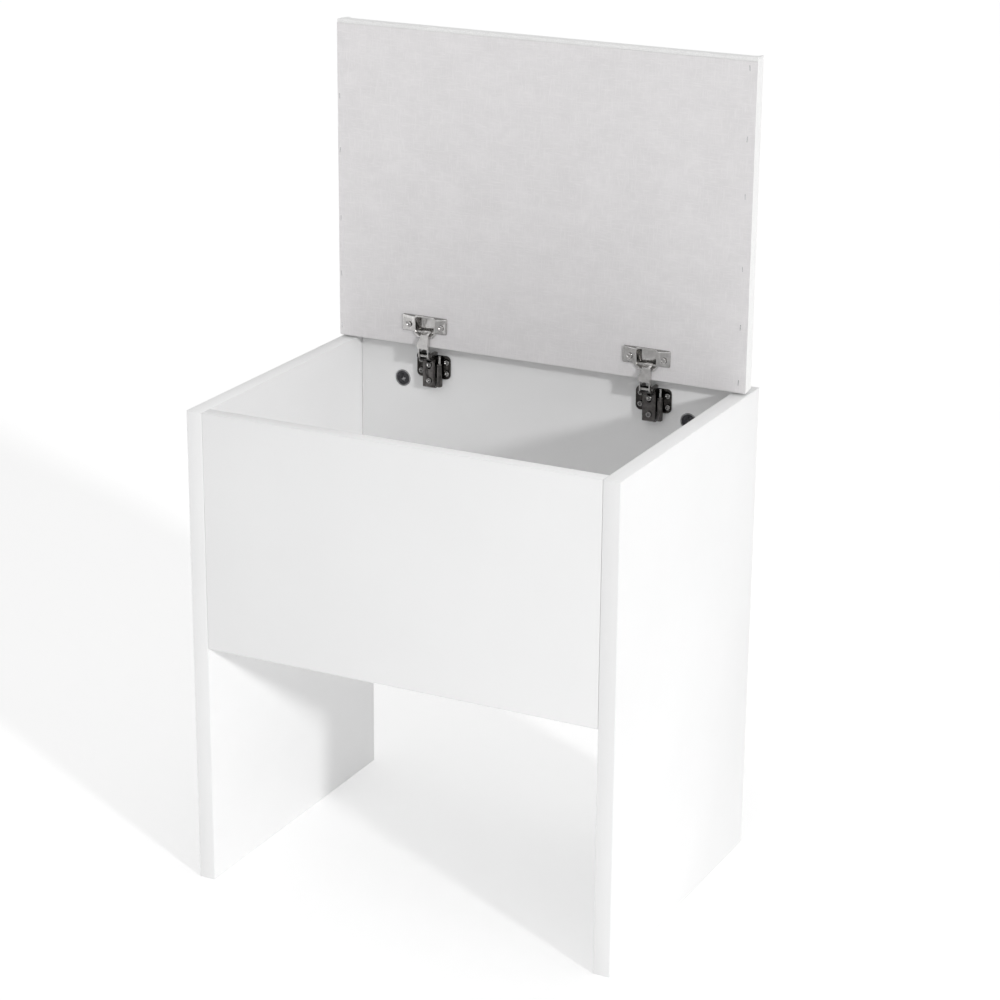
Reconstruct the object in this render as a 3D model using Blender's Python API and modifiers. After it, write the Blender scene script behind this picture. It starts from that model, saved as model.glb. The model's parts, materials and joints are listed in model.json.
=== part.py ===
"""Flip-top storage stool: board carcass, upholstered lid and two soft-close link hinges.

Frame: origin at the bottom centre of the carcass, +X right, +Y back, +Z up, metres.
The rest pose is the stool with its lid open. Closing turns the lid by +90 degrees about +X.
"""

import math

import bmesh
import bpy
from mathutils import Matrix, Vector

MM = 0.001

# ---- carcass ---------------------------------------------------------------------------------
WIDTH = 400 * MM
DEPTH = 290 * MM
SIDE_HEIGHT = 434 * MM
SIDE_BOARD = 15 * MM
FRONT_BOARD = 12 * MM
BACK_BOARD = 15 * MM
BOTTOM_BOARD = 12 * MM
PANEL_BOTTOM_Z = 221 * MM
BOTTOM_UNDER_Z = 224 * MM
BACK_TOP_Z = 432 * MM
BACK_INSET = 2.5 * MM
BOARD_EDGE_RADIUS = 0.6 * MM
FIT_GAP = 0.3 * MM

INNER_X = WIDTH / 2 - SIDE_BOARD
PANEL_X = INNER_X - FIT_GAP
FRONT_INNER_Y = -DEPTH / 2 + FRONT_BOARD
BACK_OUTER_Y = DEPTH / 2 - BACK_INSET
BACK_INNER_Y = BACK_OUTER_Y - BACK_BOARD

# ---- cam fasteners and dowels ----------------------------------------------------------------
CAM_RADIUS = 7.5 * MM
CAM_X = 142 * MM
CAM_Z = 399 * MM
CAM_PROUD = 0.3 * MM
BACK_CAM_LENGTH = 12 * MM
FRONT_CAM_LENGTH = 9.5 * MM
CAM_SLOT = (9.5 * MM, 1.3 * MM, 1.6 * MM)
BOLT_RADIUS = 2.5 * MM
BOLT_SEAT = 10 * MM
BOLT_INTO_CAM = 5 * MM
DOWEL_RADIUS = 3 * MM
DOWEL_LENGTH = 29 * MM
DOWEL_SEAT = 10 * MM
DOWEL_Z = 250 * MM
BOTTOM_DOWEL_Y = 90 * MM

# ---- lid, given in the lid's own u (from its rear edge) and w (depth from its underside) ------
LID_UNDER_Y = 113.5 * MM
LID_EDGE_Z = 435.6 * MM
LID_CLOSED_Z = 434.8 * MM
LID_THICK = 18 * MM
LID_CROWN = 4 * MM
COVER_THICK = 1.8 * MM
COVER_RIM_W = 0.8 * MM
COVER_EDGE_RADIUS = 2.4 * MM
BOARD_THICK = 12 * MM
FOAM_THICK = 3.0 * MM
DUST_THICK = 0.5 * MM
DUST_SIDE_INSET = 0.4 * MM
DUST_REAR_INSET = 1.2 * MM
DUST_FRONT_INSET = 3.9 * MM
CROWN_CUTS = 9

# ---- hinges ----------------------------------------------------------------------------------
HINGE_X = {"left": -111.2 * MM, "right": 107.0 * MM}
CUP_PIN_U = 13.6 * MM
CUP_PIN_W = 2.0 * MM
ARM_PIN_Z = 428 * MM

FLANGE_WIDTH = 45 * MM
FLANGE_U = (14.4 * MM, 29.4 * MM)
FLANGE_THICK = 1.0 * MM
FLANGE_CORNER = 1.2 * MM
TUB_DEPTH = 11.2 * MM
TUB_WALL = 0.8 * MM
TUB_PROUD = 0.4 * MM
TUB_HALF_WIDTHS = ((10.0, 6.6), (12.6, 9.9), (26.4, 10.4), (28.6, 8.4))
CUP_PIN_REACH = 9.6 * MM
CUP_SCREW_X = 16.3 * MM
CUP_SCREW_U = 20.0 * MM
CUP_SCREW_LENGTH = 10.5 * MM

PIN_RADIUS = 1.1 * MM
LINK_HALF = 5.1 * MM
LINK_SHEET = 1.0 * MM
LINK_LOWER_EYE = 2.4 * MM
LINK_UPPER_EYE = 1.9 * MM
LINK_FRONT_Y = 110.8 * MM
LINK_REAR_Y = 112.7 * MM
LINK_NECK_U = 11.2 * MM
LINK_WEB_Z = (435.0 * MM, 445.4 * MM)
EYE_PLAY = 0.15 * MM

ARM_HALF = 6.3 * MM
ARM_SHEET = 0.9 * MM
ARM_FACE_Y = 120.3 * MM
ARM_REAR_Y = 125.7 * MM
ARM_FOOT_Z = 396 * MM
ARM_EYE = 2.7 * MM
ARM_SLOT_Z = 423 * MM
FIX_SCREW_Z = 417.5 * MM
ADJUST_SCREW_Z = 402.5 * MM
ARM_PIN_PROUD = 0.7 * MM
FIX_SCREW_LENGTH = 8.6 * MM
ADJUST_SCREW_LENGTH = 6.4 * MM

PLATE_X = (-15.2 * MM, 18.8 * MM)
PLATE_Z = (404 * MM, 426 * MM)
PLATE_Y = (126.0 * MM, 127.2 * MM)
PLATE_CORNER = 4.5 * MM
PLATE_SCREW_X = (-10.6 * MM, 15.2 * MM)
PLATE_SCREW_Z = (409.6 * MM, 419.8 * MM)
PLATE_SCREW_LENGTH = 12 * MM

DAMPER_X = 9.4 * MM
DAMPER_RADIUS = 2.7 * MM
DAMPER_Z = (397 * MM, 419 * MM)
DAMPER_BORE = 1.5 * MM
DAMPER_FLOOR = 3 * MM
PLUNGER_RADIUS = 1.1 * MM
PLUNGER_Z = (408 * MM, 426 * MM)

SCREW_HEAD = 2.6 * MM
SCREW_HEAD_HEIGHT = 1.4 * MM
SCREW_POINT = 1.5 * MM
SCREW_SHANK = 1.5 * MM
HOLE_GAP = 0.4 * MM

# ---- finishes: colour, roughness, metallic ---------------------------------------------------
WHITE_LAMINATE = ((0.86, 0.86, 0.86, 1.0), 0.38, 0.0)
WHITE_LEATHER = ((0.90, 0.90, 0.89, 1.0), 0.48, 0.0)
GREY_FABRIC = ((0.66, 0.65, 0.65, 1.0), 0.95, 0.0)
FOAM = ((0.86, 0.83, 0.70, 1.0), 0.90, 0.0)
FIBREBOARD = ((0.58, 0.46, 0.33, 1.0), 0.80, 0.0)
BEECH = ((0.72, 0.55, 0.36, 1.0), 0.70, 0.0)
NICKEL = ((0.70, 0.69, 0.67, 1.0), 0.18, 1.0)
STEEL = ((0.62, 0.61, 0.59, 1.0), 0.30, 1.0)
DARK_ZINC = ((0.16, 0.16, 0.165, 1.0), 0.45, 0.7)


def clear_scene():
    for item in list(bpy.data.objects):
        bpy.data.objects.remove(item, do_unlink=True)


def new_collection(name):
    collection = bpy.data.collections.new(name)
    bpy.context.scene.collection.children.link(collection)
    return collection


clear_scene()
PARTS = new_collection("storage_stool")
CUTTERS = new_collection("cutters")
CUTTERS.hide_render = True


# ---- general helpers -------------------------------------------------------------------------
def paint(item, finish):
    """Give one object its own Principled material."""
    colour, roughness, metallic = finish
    material = bpy.data.materials.new(item.name + "_finish")
    material.use_nodes = True
    shader = material.node_tree.nodes["Principled BSDF"]
    shader.inputs["Base Color"].default_value = colour
    shader.inputs["Roughness"].default_value = roughness
    shader.inputs["Metallic"].default_value = metallic
    item.data.materials.clear()
    item.data.materials.append(material)
    return item


def add_object(name, mesh, collection):
    item = bpy.data.objects.new(name, mesh)
    collection.objects.link(item)
    if collection is CUTTERS:
        item.hide_render = True
        item.display_type = "WIRE"
    return item


def mesh_object(name, work, collection):
    """Turn a bmesh into an object with outward faces."""
    bmesh.ops.recalc_face_normals(work, faces=work.faces)
    mesh = bpy.data.meshes.new(name)
    work.to_mesh(mesh)
    work.free()
    return add_object(name, mesh, collection)


def box(name, low, high, collection=None):
    """Axis-aligned box from its two corners."""
    low = Vector(low)
    high = Vector(high)
    work = bmesh.new()
    bmesh.ops.create_cube(work, size=1.0)
    bmesh.ops.scale(work, vec=high - low, verts=work.verts)
    bmesh.ops.translate(work, vec=(low + high) / 2, verts=work.verts)
    return mesh_object(name, work, collection or PARTS)


def rod(name, start, end, radius, sides=20, collection=None):
    """Plain cylinder between two points."""
    start = Vector(start)
    end = Vector(end)
    span = end - start
    turn = span.to_track_quat("Z", "Y").to_matrix().to_4x4()
    place = Matrix.Translation((start + end) / 2) @ turn
    work = bmesh.new()
    bmesh.ops.create_cone(work, cap_ends=True, segments=sides, radius1=radius, radius2=radius,
                          depth=span.length, matrix=place)
    return mesh_object(name, work, collection or PARTS)


def extruded(name, points, thickness, frame, collection=None):
    """Flat outline, extruded evenly about its own plane, then placed by a frame matrix."""
    curve = bpy.data.curves.new(name, "CURVE")
    curve.dimensions = "2D"
    curve.fill_mode = "BOTH"
    curve.extrude = thickness / 2
    spline = curve.splines.new("POLY")
    spline.points.add(len(points) - 1)
    for point, (across, up) in zip(spline.points, points):
        point.co = (across, up, 0.0, 1.0)
    spline.use_cyclic_u = True
    draft = bpy.data.objects.new(name + "_draft", curve)
    bpy.context.scene.collection.objects.link(draft)
    graph = bpy.context.evaluated_depsgraph_get()
    mesh = bpy.data.meshes.new_from_object(draft.evaluated_get(graph))
    bpy.data.objects.remove(draft, do_unlink=True)
    bpy.data.curves.remove(curve)
    work = bmesh.new()
    work.from_mesh(mesh)
    bpy.data.meshes.remove(mesh)
    bmesh.ops.remove_doubles(work, verts=work.verts, dist=1e-6)
    bmesh.ops.transform(work, matrix=frame, verts=work.verts)
    return mesh_object(name, work, collection or PARTS)


def side_frame(x):
    """Outline axes to the world's Y and Z, extruded along X about the plane at x."""
    return Matrix(((0, 0, 1, x), (1, 0, 0, 0), (0, 1, 0, 0), (0, 0, 0, 1)))


def face_frame(y, x=0.0):
    """Outline axes to the world's X and Z, extruded along Y about the plane at y."""
    return Matrix(((1, 0, 0, x), (0, 0, -1, y), (0, 1, 0, 0), (0, 0, 0, 1)))


def arc(centre, radius, start, end, steps=8):
    """Points on an arc, in degrees."""
    points = []
    for index in range(steps):
        angle = math.radians(start + (end - start) * index / (steps - 1))
        points.append((centre[0] + radius * math.cos(angle), centre[1] + radius * math.sin(angle)))
    return points


def rounded_rectangle(low, high, radius, steps=4):
    points = []
    points += arc((high[0] - radius, high[1] - radius), radius, 0, 90, steps)
    points += arc((low[0] + radius, high[1] - radius), radius, 90, 180, steps)
    points += arc((low[0] + radius, low[1] + radius), radius, 180, 270, steps)
    points += arc((high[0] - radius, low[1] + radius), radius, 270, 360, steps)
    return points


def turned(name, profile, head, direction):
    """Turned piece: profile is (radius, height) pairs from the top down, top at the head point."""
    mesh = bpy.data.meshes.new(name)
    vertices = [(radius, 0.0, height) for radius, height in profile]
    edges = [(index, index + 1) for index in range(len(profile) - 1)]
    mesh.from_pydata(vertices, edges, [])
    item = add_object(name, mesh, PARTS)
    turn = item.modifiers.new("turn", "SCREW")
    turn.steps = 14
    turn.render_steps = 14
    turn.use_merge_vertices = True
    turn.merge_threshold = 1e-6
    item.location = head
    item.rotation_mode = "QUATERNION"
    item.rotation_quaternion = Vector(direction).to_track_quat("Z", "Y")
    return item


def boolean(target, tool, operation):
    """Keep the tool in the cutters' collection and combine it with the target."""
    step = target.modifiers.new(tool.name, "BOOLEAN")
    step.operation = operation
    step.solver = "EXACT"
    step.object = tool


def cut(target, *tools):
    for tool in tools:
        boolean(target, tool, "DIFFERENCE")


def soften(item, width, segments=1, angle=40):
    bevel = item.modifiers.new("rounding", "BEVEL")
    bevel.width = width
    bevel.segments = segments
    bevel.limit_method = "ANGLE"
    bevel.angle_limit = math.radians(angle)


def set_origin(item, point):
    """Move an object's origin to a point and leave its faces where they are."""
    point = Vector(point)
    item.data.transform(Matrix.Translation(-point))
    item.location = point


# ---- lid geometry ----------------------------------------------------------------------------
def lid_y(w):
    return LID_UNDER_Y + w


def lid_z(u):
    return LID_EDGE_Z + u


def cup_pin_open():
    return Vector((lid_y(CUP_PIN_W), lid_z(CUP_PIN_U)))


def cup_pin_closed():
    return Vector((DEPTH / 2 - CUP_PIN_U, LID_CLOSED_Z + CUP_PIN_W))


def arm_pin():
    """The point at the arm pin's height that is as far from the cup pin open as closed."""
    first = cup_pin_open()
    last = cup_pin_closed()
    middle = (first + last) / 2
    chord = last - first
    y = middle.x - chord.y * (ARM_PIN_Z - middle.y) / chord.x
    return Vector((y, ARM_PIN_Z))


def crowned_slab(name, half_x, u_span, w_span, crown, collection=None):
    """Slab in the lid's open place whose outer face swells by the crown towards its middle."""
    work = bmesh.new()
    bmesh.ops.create_cube(work, size=1.0)
    size = (2 * half_x, w_span[1] - w_span[0], u_span[1] - u_span[0])
    centre = (0.0, lid_y(sum(w_span) / 2), lid_z(sum(u_span) / 2))
    along_depth = [edge for edge in work.edges if abs(edge.verts[0].co.y - edge.verts[1].co.y) < 0.5]
    bmesh.ops.subdivide_edges(work, edges=along_depth, cuts=CROWN_CUTS, use_grid_fill=True)
    for vertex in work.verts:
        if vertex.co.y > 0.4:
            swell = (1 - (2 * vertex.co.x) ** 4) * (1 - (2 * vertex.co.z) ** 4)
            vertex.co.y += crown * swell / size[1]
    bmesh.ops.scale(work, vec=size, verts=work.verts)
    bmesh.ops.translate(work, vec=centre, verts=work.verts)
    bmesh.ops.triangulate(work, faces=work.faces, quad_method="FIXED")
    return mesh_object(name, work, collection or PARTS)


# ---- carcass ---------------------------------------------------------------------------------
def side_sign(side):
    return -1.0 if side == "left" else 1.0


def span_x(side, near, far):
    """Low and high x of a stretch on one side, given as distances from the middle."""
    sign = side_sign(side)
    return tuple(sorted((sign * near, sign * far)))


def side_bore(side, y, z, radius, seat):
    near, far = INNER_X - 1 * MM, INNER_X + seat + FIT_GAP
    sign = side_sign(side)
    name = f"bore_side_{side}_{round(y / MM)}_{round(z / MM)}"
    return rod(name, (sign * near, y, z), (sign * far, y, z), radius, 16, CUTTERS)


def end_bore(side, y, z, radius, depth):
    near, far = PANEL_X - depth, PANEL_X + 1 * MM
    sign = side_sign(side)
    name = f"bore_end_{side}_{round(y / MM)}_{round(z / MM)}"
    return rod(name, (sign * near, y, z), (sign * far, y, z), radius, 16, CUTTERS)


def cam_set(side, panel, side_panel, face_y, inward, length):
    """Cam lock in a panel's inner face and its bolt into the side panel."""
    sign = side_sign(side)
    where = panel.name.split("_")[0]
    front = face_y + inward * CAM_PROUD
    rear = face_y - inward * length
    centre_y = face_y - inward * length / 2
    cam = rod(f"{where}_cam_{side}", (sign * CAM_X, front, CAM_Z), (sign * CAM_X, rear, CAM_Z),
              CAM_RADIUS, 28)
    pocket = rod(f"pocket_{where}_{side}", (sign * CAM_X, face_y + inward * 1 * MM, CAM_Z),
                 (sign * CAM_X, rear - inward * FIT_GAP, CAM_Z), CAM_RADIUS + FIT_GAP, 28, CUTTERS)
    long_slot, short_slot, slot_depth = CAM_SLOT
    low_y, high_y = sorted((front + inward * MM, front - inward * slot_depth))
    for label, size_x, size_z in (("h", long_slot, short_slot), ("v", short_slot, long_slot)):
        low = (sign * CAM_X - size_x / 2, low_y, CAM_Z - size_z / 2)
        high = (sign * CAM_X + size_x / 2, high_y, CAM_Z + size_z / 2)
        cut(cam, box(f"slot_{label}_{where}_{side}", low, high, CUTTERS))
    seat_x = CAM_X + CAM_RADIUS - BOLT_INTO_CAM
    mouth_near = (sign * (seat_x - FIT_GAP), centre_y, CAM_Z)
    mouth_far = (sign * (CAM_X + CAM_RADIUS + 2 * MM), centre_y, CAM_Z)
    mouth = rod(f"mouth_{where}_{side}", mouth_near, mouth_far, BOLT_RADIUS + FIT_GAP, 16, CUTTERS)
    cut(cam, mouth)
    paint(cam, DARK_ZINC)
    bolt = rod(f"{where}_cam_bolt_{side}", (sign * seat_x, centre_y, CAM_Z),
               (sign * (INNER_X + BOLT_SEAT), centre_y, CAM_Z), BOLT_RADIUS, 16)
    paint(bolt, STEEL)
    bore_depth = PANEL_X - CAM_X - CAM_RADIUS + 1 * MM
    cut(panel, pocket, end_bore(side, centre_y, CAM_Z, BOLT_RADIUS + FIT_GAP, bore_depth))
    cut(side_panel, side_bore(side, centre_y, CAM_Z, BOLT_RADIUS + FIT_GAP, BOLT_SEAT))


def dowel(side, name, panel, side_panel, y, z):
    sign = side_sign(side)
    start = INNER_X + DOWEL_SEAT - DOWEL_LENGTH
    peg = rod(f"{name}_{side}", (sign * start, y, z), (sign * (start + DOWEL_LENGTH), y, z),
              DOWEL_RADIUS, 16)
    paint(peg, BEECH)
    depth = PANEL_X - start + FIT_GAP
    cut(panel, end_bore(side, y, z, DOWEL_RADIUS + FIT_GAP, depth))
    cut(side_panel, side_bore(side, y, z, DOWEL_RADIUS + FIT_GAP, DOWEL_SEAT))


def build_carcass():
    """Boards with their fasteners; returns the back panel for the hinge screws."""
    sides = {}
    for side in ("left", "right"):
        low_x, high_x = span_x(side, INNER_X, WIDTH / 2)
        sides[side] = box(f"{side}_side_panel", (low_x, -DEPTH / 2, 0),
                          (high_x, DEPTH / 2, SIDE_HEIGHT))
    front = box("front_panel", (-PANEL_X, -DEPTH / 2, PANEL_BOTTOM_Z),
                (PANEL_X, FRONT_INNER_Y, SIDE_HEIGHT))
    back = box("back_panel", (-PANEL_X, BACK_INNER_Y, PANEL_BOTTOM_Z),
               (PANEL_X, BACK_OUTER_Y, BACK_TOP_Z))
    bottom = box("bottom_panel", (-PANEL_X, FRONT_INNER_Y + FIT_GAP, BOTTOM_UNDER_Z),
                 (PANEL_X, BACK_INNER_Y - FIT_GAP, BOTTOM_UNDER_Z + BOTTOM_BOARD))
    for panel in (sides["left"], sides["right"], front, back, bottom):
        soften(panel, BOARD_EDGE_RADIUS)
        paint(panel, WHITE_LAMINATE)
    front_middle = -DEPTH / 2 + FRONT_BOARD / 2
    back_middle = BACK_INNER_Y + BACK_BOARD / 2
    bottom_middle = BOTTOM_UNDER_Z + BOTTOM_BOARD / 2
    for side, side_panel in sides.items():
        cam_set(side, back, side_panel, BACK_INNER_Y, -1.0, BACK_CAM_LENGTH)
        cam_set(side, front, side_panel, FRONT_INNER_Y, 1.0, FRONT_CAM_LENGTH)
        dowel(side, "back_dowel", back, side_panel, back_middle, DOWEL_Z)
        dowel(side, "front_dowel", front, side_panel, front_middle, DOWEL_Z)
        dowel(side, "bottom_front_dowel", bottom, side_panel, -BOTTOM_DOWEL_Y, bottom_middle)
        dowel(side, "bottom_rear_dowel", bottom, side_panel, BOTTOM_DOWEL_Y, bottom_middle)
    return back


# ---- lid -------------------------------------------------------------------------------------
def build_lid():
    """Board, foam, wrapped cover and dust cover; returns the two pieces the cups sink into."""
    inner = COVER_THICK + FIT_GAP
    board_half = WIDTH / 2 - inner
    board_u = (inner, DEPTH - inner)
    board_w = (COVER_RIM_W, COVER_RIM_W + BOARD_THICK)
    foam_w = (board_w[1] + FIT_GAP, board_w[1] + FIT_GAP + FOAM_THICK)
    board = box("lid_board", (-board_half, lid_y(board_w[0]), lid_z(board_u[0])),
                (board_half, lid_y(board_w[1]), lid_z(board_u[1])))
    paint(board, FIBREBOARD)
    foam = crowned_slab("lid_foam", board_half, board_u, foam_w, LID_CROWN)
    paint(foam, FOAM)
    rounded_w = (COVER_RIM_W - 2 * COVER_EDGE_RADIUS, LID_THICK)
    cover = crowned_slab("lid_cover", WIDTH / 2, (0, DEPTH), rounded_w, LID_CROWN)
    soften(cover, COVER_EDGE_RADIUS, 2, 60)
    rim_cut = box("lid_rim_cut", (-WIDTH, lid_y(rounded_w[0] - MM), lid_z(-DEPTH)),
                  (WIDTH, lid_y(COVER_RIM_W), lid_z(2 * DEPTH)), CUTTERS)
    cavity = crowned_slab("lid_cavity", WIDTH / 2 - COVER_THICK, (COVER_THICK, DEPTH - COVER_THICK),
                          (COVER_RIM_W - 2 * MM, foam_w[1] + FIT_GAP), LID_CROWN, CUTTERS)
    cut(cover, rim_cut, cavity)
    paint(cover, WHITE_LEATHER)
    dust_half = WIDTH / 2 - DUST_SIDE_INSET
    dust = box("lid_dust_cover", (-dust_half, lid_y(0), lid_z(DUST_REAR_INSET)),
               (dust_half, lid_y(DUST_THICK), lid_z(DEPTH - DUST_FRONT_INSET)))
    paint(dust, GREY_FABRIC)
    return board, dust


# ---- hinges ----------------------------------------------------------------------------------
def tub_outline(grow):
    """Cup outline seen from the front: straight flanks that taper towards the lid's rear edge."""
    last = len(TUB_HALF_WIDTHS) - 1
    right = []
    for index, (u, half) in enumerate(TUB_HALF_WIDTHS):
        shift = -grow if index == 0 else grow if index == last else 0.0
        right.append((half * MM + grow, lid_z(u * MM + shift)))
    left = [(-x, z) for x, z in reversed(right)]
    return right + left


def tub_prism(name, x, grow, w_span, collection):
    middle = sum(w_span) / 2
    depth = w_span[1] - w_span[0]
    return extruded(name, tub_outline(grow), depth, face_frame(lid_y(middle), x), collection)


def build_cup(side, x, board, dust):
    flange_w = (-FIT_GAP - FLANGE_THICK, -FIT_GAP)
    flange = rounded_rectangle((-FLANGE_WIDTH / 2, lid_z(FLANGE_U[0])),
                               (FLANGE_WIDTH / 2, lid_z(FLANGE_U[1])), FLANGE_CORNER)
    flange_place = face_frame(lid_y(sum(flange_w) / 2), x)
    cup = extruded(f"hinge_cup_{side}", flange, FLANGE_THICK, flange_place)
    tub = tub_prism(f"tub_{side}", x, 0.0, (-TUB_PROUD, TUB_DEPTH), CUTTERS)
    mouth_w = (flange_w[0] - MM, TUB_DEPTH - TUB_WALL)
    mouth = tub_prism(f"mouth_{side}", x, -TUB_WALL, mouth_w, CUTTERS)
    recess = tub_prism(f"recess_{side}", x, FIT_GAP, (-2 * MM, TUB_DEPTH + FIT_GAP), CUTTERS)
    pin = cup_pin_open()
    bore_reach = CUP_PIN_REACH + 2 * MM
    pin_bore = rod(f"cup_pin_bore_{side}", (x - bore_reach, pin.x, pin.y),
                   (x + bore_reach, pin.x, pin.y), PIN_RADIUS + FIT_GAP, 14, CUTTERS)
    boolean(cup, tub, "UNION")
    cut(cup, mouth, pin_bore)
    cut(board, recess)
    cut(dust, recess)
    paint(cup, NICKEL)
    cup_pin = rod(f"cup_pin_{side}", (x - CUP_PIN_REACH, pin.x, pin.y),
                  (x + CUP_PIN_REACH, pin.x, pin.y), PIN_RADIUS, 14)
    paint(cup_pin, STEEL)
    for place, offset in (("a", -CUP_SCREW_X), ("b", CUP_SCREW_X)):
        z = lid_z(CUP_SCREW_U)
        head_w = flange_w[0] - FIT_GAP - SCREW_HEAD_HEIGHT
        piece = screw(f"cup_screw_{place}_{side}", (x + offset, lid_y(head_w), z), CUP_SCREW_LENGTH)
        paint(piece, NICKEL)
        bore = rod(f"cup_screw_bore_{place}_{side}", (x + offset, lid_y(head_w), z),
                   (x + offset, lid_y(head_w + CUP_SCREW_LENGTH + 2 * MM), z),
                   SCREW_SHANK + HOLE_GAP, 14, CUTTERS)
        cut(cup, bore)
        cut(dust, bore)
        cut(board, bore)


def screw(name, head, length):
    """Pan-head screw facing the front: head's top at the head point and its shank behind it."""
    rim = SCREW_HEAD
    seat = -SCREW_HEAD_HEIGHT
    profile = [(0.0, 0.0), (rim * 0.6, 0.1 * seat), (rim * 0.92, 0.43 * seat), (rim, seat),
               (SCREW_SHANK, seat), (SCREW_SHANK, SCREW_POINT - length), (0.0, -length)]
    return turned(name, profile, head, (0, -1, 0))


def build_link(side, x):
    """Goose-neck link from the arm pin up into the cup, two cheeks joined by a front web."""
    lower = arm_pin()
    upper = cup_pin_open()
    outline = arc(lower, LINK_LOWER_EYE, 190, 370, 9)
    outline += [(LINK_REAR_Y, lower.y + 5.5 * MM), (LINK_REAR_Y, lid_z(LINK_NECK_U))]
    outline += arc(upper, LINK_UPPER_EYE, -60, 150, 9)
    outline += [(LINK_FRONT_Y, upper.y - 1.2 * MM), (LINK_FRONT_Y, lower.y + 5.0 * MM)]
    link = extruded(f"hinge_link_{side}", outline, 2 * LINK_HALF, side_frame(x))
    half = LINK_HALF - LINK_SHEET
    web_back = LINK_FRONT_Y + LINK_SHEET
    near_y = LINK_FRONT_Y - 6 * MM
    far_y = LINK_REAR_Y + 16 * MM
    foot_z = lower.y - 7 * MM
    top_z = upper.y + 7 * MM
    below = box(f"link_below_{side}", (x - half, near_y, foot_z), (x + half, far_y, LINK_WEB_Z[0]), CUTTERS)
    behind = box(f"link_behind_{side}", (x - half, web_back, LINK_WEB_Z[0] - MM),
                 (x + half, far_y, LINK_WEB_Z[1] + MM), CUTTERS)
    above = box(f"link_above_{side}", (x - half, near_y, LINK_WEB_Z[1]), (x + half, far_y, top_z), CUTTERS)
    reach = LINK_HALF + 2 * MM
    eyes = []
    for place, point in (("lower", lower), ("upper", upper)):
        eyes.append(rod(f"link_eye_{place}_{side}", (x - reach, point.x, point.y),
                        (x + reach, point.x, point.y), PIN_RADIUS + EYE_PLAY, 14, CUTTERS))
    cut(link, below, behind, above, *eyes)
    set_origin(link, (x, lower.x, lower.y))
    paint(link, NICKEL)


def build_arm(side, x):
    """Pressed channel on the mounting plate whose head holds the arm pin between two cheeks."""
    pin = arm_pin()
    outline = [(ARM_REAR_Y, ARM_FOOT_Z), (ARM_FACE_Y + MM, ARM_FOOT_Z), (ARM_FACE_Y, ARM_FOOT_Z + MM)]
    outline += [(ARM_FACE_Y, ARM_SLOT_Z - 2.5 * MM)]
    outline += arc(pin, ARM_EYE, 235, 90, 8)
    outline += [(ARM_FACE_Y + 1.2 * MM, pin.y + ARM_EYE), (ARM_REAR_Y, pin.y + MM)]
    arm = extruded(f"hinge_arm_{side}", outline, 2 * ARM_HALF, side_frame(x))
    half = ARM_HALF - ARM_SHEET
    channel = box(f"arm_channel_{side}", (x - half, ARM_FACE_Y + ARM_SHEET, ARM_FOOT_Z + ARM_SHEET),
                  (x + half, ARM_REAR_Y + MM, ARM_SLOT_Z + MM), CUTTERS)
    slot = box(f"arm_slot_{side}", (x - half, pin.x - 9 * MM, ARM_SLOT_Z),
               (x + half, ARM_REAR_Y + 2 * MM, pin.y + 8 * MM), CUTTERS)
    reach = ARM_HALF + ARM_PIN_PROUD
    bore = rod(f"arm_pin_bore_{side}", (x - reach - MM, pin.x, pin.y), (x + reach + MM, pin.x, pin.y),
               PIN_RADIUS + FIT_GAP, 14, CUTTERS)
    cut(arm, channel, slot, bore)
    paint(arm, NICKEL)
    pin_rod = rod(f"arm_pin_{side}", (x - reach, pin.x, pin.y), (x + reach, pin.x, pin.y), PIN_RADIUS, 14)
    paint(pin_rod, STEEL)
    return arm


def build_plate(side, x, arm, back):
    outline = rounded_rectangle((PLATE_X[0], PLATE_Z[0]), (PLATE_X[1], PLATE_Z[1]), PLATE_CORNER)
    middle = sum(PLATE_Y) / 2
    plate = extruded(f"hinge_plate_{side}", outline, PLATE_Y[1] - PLATE_Y[0], face_frame(middle, x))
    paint(plate, NICKEL)
    index = 0
    for offset in PLATE_SCREW_X:
        for z in PLATE_SCREW_Z:
            index += 1
            head_y = PLATE_Y[0] - FIT_GAP - SCREW_HEAD_HEIGHT
            piece = screw(f"plate_screw_{index}_{side}", (x + offset, head_y, z), PLATE_SCREW_LENGTH)
            paint(piece, STEEL)
            bore = rod(f"plate_bore_{index}_{side}", (x + offset, head_y, z),
                       (x + offset, head_y + PLATE_SCREW_LENGTH + 0.5 * MM, z),
                       SCREW_SHANK + HOLE_GAP, 14, CUTTERS)
            cut(plate, bore)
            cut(back, bore)
    arm_screws = (("fixing", FIX_SCREW_Z, FIX_SCREW_LENGTH),
                  ("adjusting", ADJUST_SCREW_Z, ADJUST_SCREW_LENGTH))
    for name, z, length in arm_screws:
        head = (x, ARM_FACE_Y - FIT_GAP - SCREW_HEAD_HEIGHT, z)
        piece = screw(f"{name}_screw_{side}", head, length)
        paint(piece, NICKEL)
        bore = rod(f"{name}_bore_{side}", (x, ARM_FACE_Y - MM, z), (x, PLATE_Y[1] + 0.2 * MM, z),
                   SCREW_SHANK + HOLE_GAP, 14, CUTTERS)
        cut(arm, bore)
        if z > PLATE_Z[0]:
            cut(plate, bore)


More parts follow.
